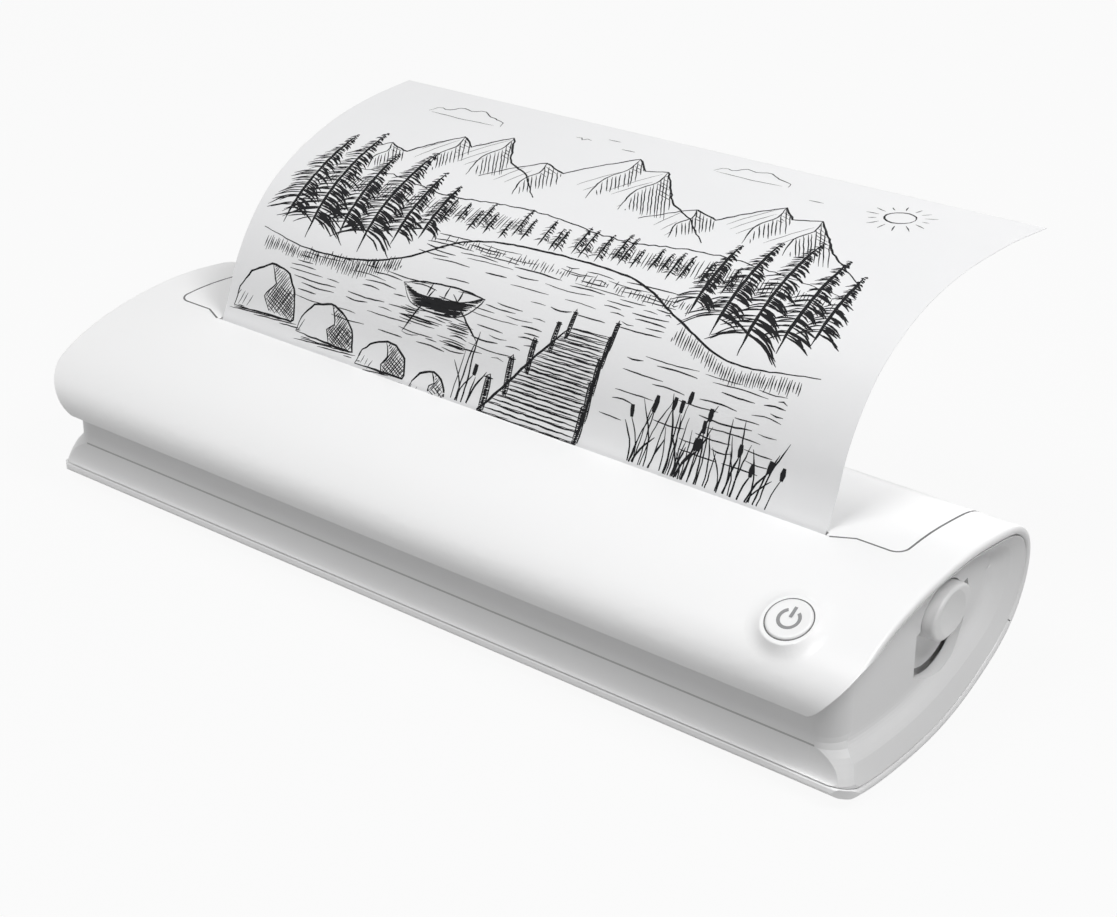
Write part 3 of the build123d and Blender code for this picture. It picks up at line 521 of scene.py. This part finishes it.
RIDGES = [
    [(16, 66), (26, 76), (33, 73), (44, 88), (50, 83), (57, 94), (66, 80), (74, 76), (84, 66)],
    [(62, 70), (76, 84), (84, 80), (97, 99), (103, 92), (109, 95), (122, 78), (131, 73), (141, 64)],
    [(118, 68), (130, 78), (138, 75), (150, 90), (156, 84), (163, 87), (176, 72), (190, 62)],
]


def mountain(pen, ridge, foot):
    """A ridge with a spine and hatched faces under each of its tops."""
    pen.stroke(ridge, 0.6, 0.5, 0.25)
    for before, (x, y), (x1, y1) in zip(ridge, ridge[1:], ridge[2:]):
        if y <= before[1] or y <= y1:
            continue
        down = max(6.0, (y - foot) * 0.62)
        spine = [(x, y), (x + 1.6, y - down * 0.3), (x - 0.6, y - down * 0.6), (x + 1.2, y - down)]
        pen.curve(spine, 0.45)
        face = [(x, y), (x1, y1), (x1 + 3, y1 - down * 0.35), (x + 3, y - down), spine[2], spine[1]]
        pen.hatch(face, -58, 1.05, 0.32, 1.6)
        pen.hatch([(x, y), spine[1], (x + 4, y - down * 0.5), (x1, y1)], -20, 1.6, 0.26, 1.2)
        left = [(x, y), (x - 7, y - 8), (x - 9, y - down * 0.8), spine[3]]
        pen.hatch(left, 64, 3.2, 0.22, 3.0, 0.3)


def water(pen, left, right, low, high, gap, skip=0.35):
    """Broken level lines, closer together farther away."""
    y = low
    while y < high:
        x = left + random.uniform(0, 6)
        while x < right:
            run = random.uniform(4, 17)
            if random.random() > skip:
                end = min(x + run, right)
                middle = ((x + end) / 2, y + random.uniform(-0.5, 0.5))
                tip = (end, y + random.uniform(-0.3, 0.3))
                pen.curve([(x, y), middle, tip], random.uniform(0.22, 0.42), shake=0.06)
            x += run + random.uniform(1, 6)
        y += gap * (1.25 - 0.6 * (y - low) / (high - low)) * random.uniform(0.8, 1.2)


def jetty(pen):
    """Plank jetty that runs from the front into the lake."""
    near, far = ((96, -2), (131, -2)), ((120, 29), (134, 29))
    planks = 27
    for k in range(planks + 1):
        t = (k / planks) ** 0.8
        a = Vector(near[0]).lerp(Vector(far[0]), t)
        b = Vector(near[1]).lerp(Vector(far[1]), t)
        left = a + Vector((random.uniform(-0.6, 0.4), 0))
        right = b + Vector((random.uniform(-0.4, 0.6), 0))
        pen.stroke([left, right], 0.5 - 0.2 * t)
        if k % 2:
            pen.hatch([a, b, b + Vector((0, 0.55)), a + Vector((0, 0.55))], 2, 0.3, 0.22)
    pen.stroke([near[0], far[0]], 0.8)
    pen.stroke([near[1], far[1]], 0.8)
    post_places = (0.12, 0.38, 0.62, 0.85, 1.0)
    for t in post_places:
        for side in (0, 1):
            foot = Vector(near[side]).lerp(Vector(far[side]), t)
            tall, wide = 8.5 - 4 * t, 1.7 - 0.8 * t
            post = [foot + Vector((-wide / 2, -3)), foot + Vector((wide / 2, -3)),
                    foot + Vector((wide / 2, tall)), foot + Vector((-wide / 2, tall))]
            pen.fill([tuple(p) for p in post], 0.4, 0.5)
            pen.stroke([foot + Vector((-wide, tall)), foot + Vector((wide, tall))], 0.6)


HULL = [(0, 0.20), (0.22, 0), (0.80, 0), (1.06, 0.26), (0.76, 0.15), (0.26, 0.12)]
GUNWALE = [(0, 0.20), (0.30, 0.27), (0.72, 0.29), (1.06, 0.26)]


def rowing_boat(pen, u, v, size):
    """A boat with its thwarts, two oars and the ripples beneath it."""
    def spots(shape):
        return [(u + size * x, v + size * y) for x, y in shape]
    pen.fill(spots(HULL), 0.45, 0.6)
    pen.curve(spots(GUNWALE), 0.5)
    for thwart in (0.34, 0.56, 0.74):
        pen.stroke(spots([(thwart, 0.13), (thwart + 0.03, 0.28)]), 0.6)
    for oar in ([(0.42, 0.22), (0.16, -0.30)], [(0.66, 0.22), (1.12, -0.18)]):
        pen.stroke(spots(oar), 0.55)
    water(pen, u + 1, u + size, v - size * 0.34, v - 0.6, gap=0.9, skip=0.1)


def reeds(pen, left, right, foot, count):
    """Bent stalks, some with a dark head."""
    for _ in range(count):
        u = random.uniform(left, right)
        tall = random.uniform(9, 24)
        bend = random.uniform(-5, 6)
        stalk = [(u, foot), (u + bend * 0.25, foot + tall * 0.55), (u + bend, foot + tall)]
        pen.curve(stalk, random.uniform(0.3, 0.6))
        if random.random() < 0.3:
            top = Vector((u + bend * 0.9, foot + tall * 0.93))
            pen.stroke([top, top + Vector((bend * 0.08, 3.2))], 1.5, 0.7, 0.02)


def sun(pen, u, v, r):
    """A ring with rays around it."""
    def spot(reach, a):
        return u + reach * math.cos(a), v + reach * math.sin(a)
    pen.loop([spot(r, k * math.pi / 6) for k in range(12)], 0.6)
    rays = 14
    for k in range(rays):
        a = 2 * math.pi * k / rays + 0.1
        pen.stroke([spot(r * 1.45, a), spot(r * random.uniform(1.9, 2.4), a)], 0.4)


PUFFS = [(0, 0), (0.06, 0.9), (0.2, 0.8), (0.28, 1.7), (0.45, 1.5), (0.55, 2.0), (0.72, 1.3),
         (0.82, 1.1), (0.96, 0.7), (1, 0)]


def cloud(pen, u, v, w):
    pen.curve([(u + w * t, v + w * 0.16 * h) for t, h in PUFFS], 0.42, shake=0.25)
    pen.stroke([(u + w * 0.05, v - 0.3), (u + w * 0.5, v - 0.8), (u + w * 0.92, v - 0.2)], 0.3)


WINGS = [(-1, 0.35), (-0.4, 0.55), (0, 0), (0.4, 0.6), (1, 0.4)]


def bird(pen, u, v, w):
    pen.curve([(u + w * x, v + w * y) for x, y in WINGS], 0.42, shake=0.03)


SHORE = [(6, 33), (24, 30), (44, 31), (60, 36), (76, 45), (96, 48), (130, 47), (150, 39), (170, 32),
         (196, 34)]
LEFT_PINES = [(12, 36, 40), (22, 33, 47), (33, 36, 36), (42, 33, 43), (52, 38, 30), (60, 42, 22)]
RIGHT_PINES = [(152, 41, 26), (161, 37, 35), (171, 34, 42), (181, 37, 34), (189, 41, 25)]
STONES = [(15, 7, 24, 15, 0.4), (40, 4, 22, 12, 1.7), (62, 1, 18, 10, 2.6), (80, -1, 13, 7, 0.9)]
BIRDS = [(74, 103, 2.6), (82, 107, 2.0), (90, 102, 2.2), (154, 97, 2.2)]


def lake_drawing(sheet):
    """A landscape in pen: peaks, pines, a lake with a jetty and a boat, stones and reeds."""
    pen = Pen(sheet)
    for ridge in RIDGES:
        mountain(pen, ridge, foot=54)
    pen.curve([(10, 58), (34, 62), (58, 59), (88, 61), (118, 58), (150, 61), (192, 57)], 0.4, shake=0.3)
    pen.hatch([(14, 52), (60, 50), (90, 51), (90, 58), (58, 57), (34, 60), (14, 56)], 82, 1.1, 0.3, 1.5)
    pen.hatch([(96, 51), (150, 50), (188, 52), (188, 56), (150, 59), (118, 56)], 98, 1.2, 0.3, 1.5)
    for u in range(64, 158, 4):
        spot = u + random.uniform(-1.5, 1.5), 49 + random.uniform(-1, 1.5)
        pine(pen, *spot, random.uniform(7, 12), dark=0.8)
    for u, v, h in LEFT_PINES + RIGHT_PINES:
        pine(pen, u, v, h, lean=random.uniform(-0.03, 0.03), dark=1.25)
    pen.curve(SHORE, 0.6)
    pen.hatch([(8, 26), (46, 25), (60, 31), (58, 36), (44, 31), (24, 30), (8, 32)], 88, 0.8, 0.4, 1.5)
    pen.hatch([(150, 33), (172, 26), (192, 28), (192, 33), (170, 31), (152, 38)], 92, 0.8, 0.4, 1.5)
    water(pen, 62, 148, 33, 46, gap=1.3, skip=0.25)
    water(pen, 20, 112, 13, 31, gap=1.9)
    water(pen, 136, 190, 8, 28, gap=1.9)
    rowing_boat(pen, 62, 23, 27)
    jetty(pen)
    pen.hatch([(64, 42), (152, 40), (152, 45), (64, 46)], 90, 1.0, 0.36, 2.0, 0.25)
    pen.hatch([(24, 27), (56, 29), (60, 33), (24, 31)], 90, 1.0, 0.36, 2.0, 0.2)
    for stone in STONES:
        boulder(pen, *stone)
    reeds(pen, 148, 192, -2, count=46)
    reeds(pen, 86, 95, -2, count=7)
    sun(pen, 178, 100, 4.2)
    cloud(pen, 22, 99, 26)
    cloud(pen, 118, 103, 24)
    for place in BIRDS:
        bird(pen, *place)
    pen.piece("printed_lines", printed_ink())


# ---------------------------------------------------------------- the button's sign

BUTTON_AT = Vector((115.2, -31.6, 40.504))
BUTTON_OUT = Vector((0, -0.44513, 0.89547))
BUTTON_UP = Vector((0, 0.89547, 0.44513))
CROWN_HEIGHT = 1.28      # of the sign over the button's foot, at its middle
CROWN_DISH = 0.0102      # rise with the square of the distance from the middle
SIGN_OUTER = 3.1
SIGN_INNER = 2.2
SIGN_GAP = 33            # degrees, half the ring's gap
SIGN_STEPS = 48
BAR_HALF = 0.45
BAR_FOOT = 0.5
BAR_LENGTH = 3.1
BAR_STEPS = 8


def power_sign():
    """Ring with a gap and a bar, printed on the button's dished crown. The bar points up the slope."""
    points = []

    def put(x, y):
        height = CROWN_HEIGHT + CROWN_DISH * (x * x + y * y)
        points.append((BUTTON_AT + Vector((x, 0, 0)) + BUTTON_UP * y + BUTTON_OUT * height) * MM)
    gap = math.radians(SIGN_GAP)
    for k in range(SIGN_STEPS + 1):
        a = math.pi / 2 + gap + (2 * math.pi - 2 * gap) * k / SIGN_STEPS
        put(SIGN_OUTER * math.cos(a), SIGN_OUTER * math.sin(a))
        put(SIGN_INNER * math.cos(a), SIGN_INNER * math.sin(a))
    for k in range(BAR_STEPS + 1):
        y = BAR_FOOT + BAR_LENGTH * k / BAR_STEPS
        put(BAR_HALF, y)
        put(-BAR_HALF, y)
    ring = strip_faces(0, SIGN_STEPS + 1)
    bar = strip_faces(2 * (SIGN_STEPS + 1), BAR_STEPS + 1)
    mesh_piece("power_sign", points, ring + bar, "power_key", sign_print())


# ---------------------------------------------------------------- parting lines and their painted shade

RIM_X = 138.6 * MM       # plane of the shells' end rims
LID_HALF = 127.5 * MM    # the cover's opening ends inside this
SHELL_MIDDLE = 24 * MM   # height that the end rims run round
CREST_REACH = 8 * MM     # the button's bore lies within this of its middle
PANEL_HALF = 127.4 * MM
PANEL_FOOT = (-37.6 * MM, 13.7 * MM)
PANEL_LINE = 0.5 * MM
SEAM_DEPTH = 0.5         # of every strip, in millimetres


def gap_shade_material():
    """Painted shade for a gap: dark grey, its tone varied a little by a noise."""
    f = Finish("seam_shade")
    # painted shade: this dark grey stands in for the shade deep in a gap, not for dust; the noise only
    # varies its tone a little
    dust = f.noise(900.0, 2.0)
    f.set(Base_Color=f.mix(dust, (0.13, 0.13, 0.132), (0.16, 0.16, 0.163)), Roughness=0.8 + dust * 0.1)
    return f.material


def rim(node, is_face, is_wall):
    """Edges between a node's outer face and a wall, and each of their points with its two normals."""
    mesh = frame["nodes"][node].data
    known = {}
    same = [known.setdefault(tuple(round(c, 7) for c in v.co), v.index) for v in mesh.vertices]
    sides = {}
    for face in mesh.polygons:
        for a, b in face.edge_keys:
            sides.setdefault(tuple(sorted((same[a], same[b]))), []).append(face.normal)
    edges, normals = [], {}
    for key, pair in sides.items():
        middle = (mesh.vertices[key[0]].co + mesh.vertices[key[1]].co) / 2
        for out, wall in (pair, pair[::-1]) if len(pair) == 2 else ():
            if out.dot(wall) < 0.75 and is_face(middle, out) and is_wall(middle, wall):
                edges.append(key)
                for k in key:
                    sums = normals.setdefault(k, [Vector(), Vector()])
                    sums[0] += out
                    sums[1] += wall
    units = {k: (out.normalized(), wall.normalized()) for k, (out, wall) in normals.items()}
    return edges, {k: (mesh.vertices[k].co, *pair) for k, pair in units.items()}


def shade_strip(name, rims, finish, start, end, drop):
    """Dark strip of painted shade along the rims that fills the gap beside them. It runs from start to end
    across the gap, measured from the rim, and lies at drop below the outer face, in millimetres."""
    points, faces = [], []
    low = drop + SEAM_DEPTH
    for edges, spots in rims:
        first = {}
        for k, (spot, out, wall) in spots.items():
            first[k] = len(points)
            for aside, down in ((start, drop), (end, drop), (end, low), (start, low)):
                points.append(spot + (wall * aside - out * down) * MM)
        for a, b in edges:
            a, b = first[a], first[b]
            faces += [(a + k, b + k, b + (k + 1) % 4, a + (k + 1) % 4) for k in range(4)]
    mesh_piece(name, points, faces, "base", finish)


def painted_gap_shades():
    """Painted shade: dark strips in the gaps round the cover, the end panels and the button, and a grey line
    of painted shade above the cove, in the crease at the foot of the neck band.
    """
    shade = gap_shade_material()

    def lid_face(spot, out):
        return out.z > 0.25 or out.y > 0.5

    def lid_wall(spot, wall):
        over = abs(spot.x) < LID_HALF and spot.y > -8 * MM and spot.z > 20 * MM
        return over and abs(wall.z) < 0.3 and wall.x * spot.x < 0.2 * abs(spot.x) and wall.y > -0.3
    shade_strip("cover_seam_shade", [rim("upper_shell", lid_face, lid_wall)], shade, start=-0.22, end=0.34, drop=-0.03)

    def end_face(spot, out):
        return abs(out.x) > 0.9 and abs(spot.x) > RIM_X - 0.3 * MM

    def end_wall(spot, wall):
        inward = Vector((0, -spot.y, SHELL_MIDDLE - spot.z)).normalized()
        return abs(wall.x) < 0.3 and wall.dot(inward) > 0.35
    rims = [rim(shell, end_face, end_wall) for shell in ("upper_shell", "lower_shell")]
    shade_strip("end_seam_shade", rims, shade, start=0.01, end=0.34, drop=0.36)

    def crest(spot, out):
        return out.dot(BUTTON_OUT) > 0.9 and (spot - BUTTON_AT * MM).length < CREST_REACH

    def bore(spot, wall):
        return abs(wall.dot(BUTTON_OUT)) < 0.2
    shade_strip("button_seam_shade", [rim("upper_shell", crest, bore)], shade, start=-0.10, end=0.22, drop=-0.02)

    # painted shade: a grey strip along the crease at the foot of the neck band, standing in for the shade
    # there
    y, z = PANEL_FOOT
    back, front, top = y + 0.2 * MM, y - 0.03 * MM, z + PANEL_LINE
    section = [(back, z), (front, z), (front, top), (back, top)]
    points = [(x, *spot) for x in (-PANEL_HALF, PANEL_HALF) for spot in section]
    faces = [(k, k + 4, (k + 1) % 4 + 4, (k + 1) % 4) for k in range(4)] + [(0, 1, 2, 3), (7, 6, 5, 4)]
    grey = moulded("crease_shade_grey", (0.46, 0.46, 0.46), 0.6)
    mesh_piece("panel_crease_shade", points, faces, "base", grey)


# ---------------------------------------------------------------- camera, light and floor

CAMERA_AT = (0.37462, -0.44363, 0.33014)
CAMERA_AZIMUTH = math.radians(38.615)
CAMERA_ELEVATION = math.radians(27.0)
CAMERA_LENS = 77.15
WORLD_LIGHT = 0.13
WORLD_SEEN = 0.98        # what the world shows behind the floor
FLOOR_SEEN = 0.93        # share of plain white in the floor as it is seen; the rest holds the shadow
FLOOR_HALF = 3.0


def place_camera():
    """The camera looks down on the right front corner."""
    data = bpy.data.cameras.new("camera")
    camera = bpy.data.objects.new("camera", data)
    bpy.context.scene.collection.objects.link(camera)
    a, e = CAMERA_AZIMUTH, CAMERA_ELEVATION
    back = Vector((math.sin(a) * math.cos(e), -math.cos(a) * math.cos(e), math.sin(e)))
    camera.rotation_mode = "QUATERNION"
    camera.rotation_quaternion = (-back).to_track_quat("-Z", "Y")
    camera.location = CAMERA_AT
    data.lens = CAMERA_LENS
    data.sensor_width = 36.0
    data.clip_start = 0.01
    bpy.context.scene.camera = camera


def lamp(name, at, aim, size, power):
    """A rectangular lamp. The power is in watts."""
    data = bpy.data.lights.new(name, "AREA")
    data.shape = "RECTANGLE"
    data.size, data.size_y = size
    data.energy = power
    light = bpy.data.objects.new(name, data)
    light.location = at
    light.rotation_mode = "QUATERNION"
    light.rotation_quaternion = (Vector(aim) - Vector(at)).to_track_quat("-Z", "Y")
    bpy.context.scene.collection.objects.link(light)


def seen_rays(tree):
    """1 on the rays that show the backdrop: straight to the camera, or by a glossy or clear surface."""
    path = tree.nodes.new("ShaderNodeLightPath")
    seen = path.outputs["Is Camera Ray"]
    for other in ("Is Glossy Ray", "Is Transmission Ray"):
        either = tree.nodes.new("ShaderNodeMath")
        either.operation = "MAXIMUM"
        tree.links.new(seen, either.inputs[0])
        tree.links.new(path.outputs[other], either.inputs[1])
        seen = either.outputs[0]
    return seen


def studio():
    """Even dim light from all round, and five lamps."""
    world = bpy.data.worlds.new("studio")
    world.use_nodes = True
    bpy.context.scene.world = world
    tree = world.node_tree
    sky = tree.nodes["Background"]
    sky.inputs["Color"].default_value = (1, 1, 1, 1)
    plain = tree.nodes.new("ShaderNodeMapRange")
    plain.inputs["To Min"].default_value = WORLD_LIGHT
    plain.inputs["To Max"].default_value = WORLD_SEEN
    tree.links.new(seen_rays(tree), plain.inputs["Value"])
    tree.links.new(plain.outputs["Result"], sky.inputs["Strength"])
    lamp("key", (-0.12, -0.46, 1.10), (0, 0, 0.02), (0.45, 0.45), 5.8)
    lamp("top", (0.15, 0.45, 1.10), (0, 0, 0.02), (0.9, 0.9), 0.6)
    lamp("end", (0.64, 0.02, 0.92), (0.13, 0, 0.03), (0.35, 0.35), 6.1)
    lamp("left", (-0.70, -0.85, 0.70), (0, 0, 0.04), (0.6, 0.6), 2.0)
    lamp("rear", (-0.30, 1.10, 0.26), (0, 0.04, 0.03), (0.9, 0.4), 2.2)


def floor():
    """Matt pale floor that still shows the object's shadow. It looks nearly white."""
    f = Finish("pale_floor")
    seen = Link(f, seen_rays(f.tree))
    cloud_tone = f.mix(f.noise(3.0, 2.0) * 0.1, (0.43, 0.43, 0.43), (0.41, 0.41, 0.41))
    f.set(Base_Color=cloud_tone, Roughness=0.9)
    matt = Link(f, f.shader.outputs["BSDF"])
    glow = f.node("ShaderNodeEmission", None, {"Color": (1, 1, 1, 1), "Strength": 1.0})
    surface = f.node("ShaderNodeMixShader", None, {0: seen * FLOOR_SEEN, 1: matt, 2: glow})
    f.put(f.tree.nodes["Material Output"].inputs["Surface"], surface)
    h = FLOOR_HALF
    mesh = bpy.data.meshes.new("floor")
    mesh.from_pydata([(-h, -h, 0), (h, -h, 0), (h, h, 0), (-h, h, 0)], [], [(0, 1, 2, 3)])
    mesh.materials.append(f.material)
    piece = bpy.data.objects.new("floor", mesh)
    bpy.context.scene.collection.objects.link(piece)


finish_cad_nodes()
printed = Sheet()
paper_sheet(printed)
lake_drawing(printed)
power_sign()
painted_gap_shades()
place_camera()
studio()
floor()
bpy.context.scene.view_settings.view_transform = "Standard"
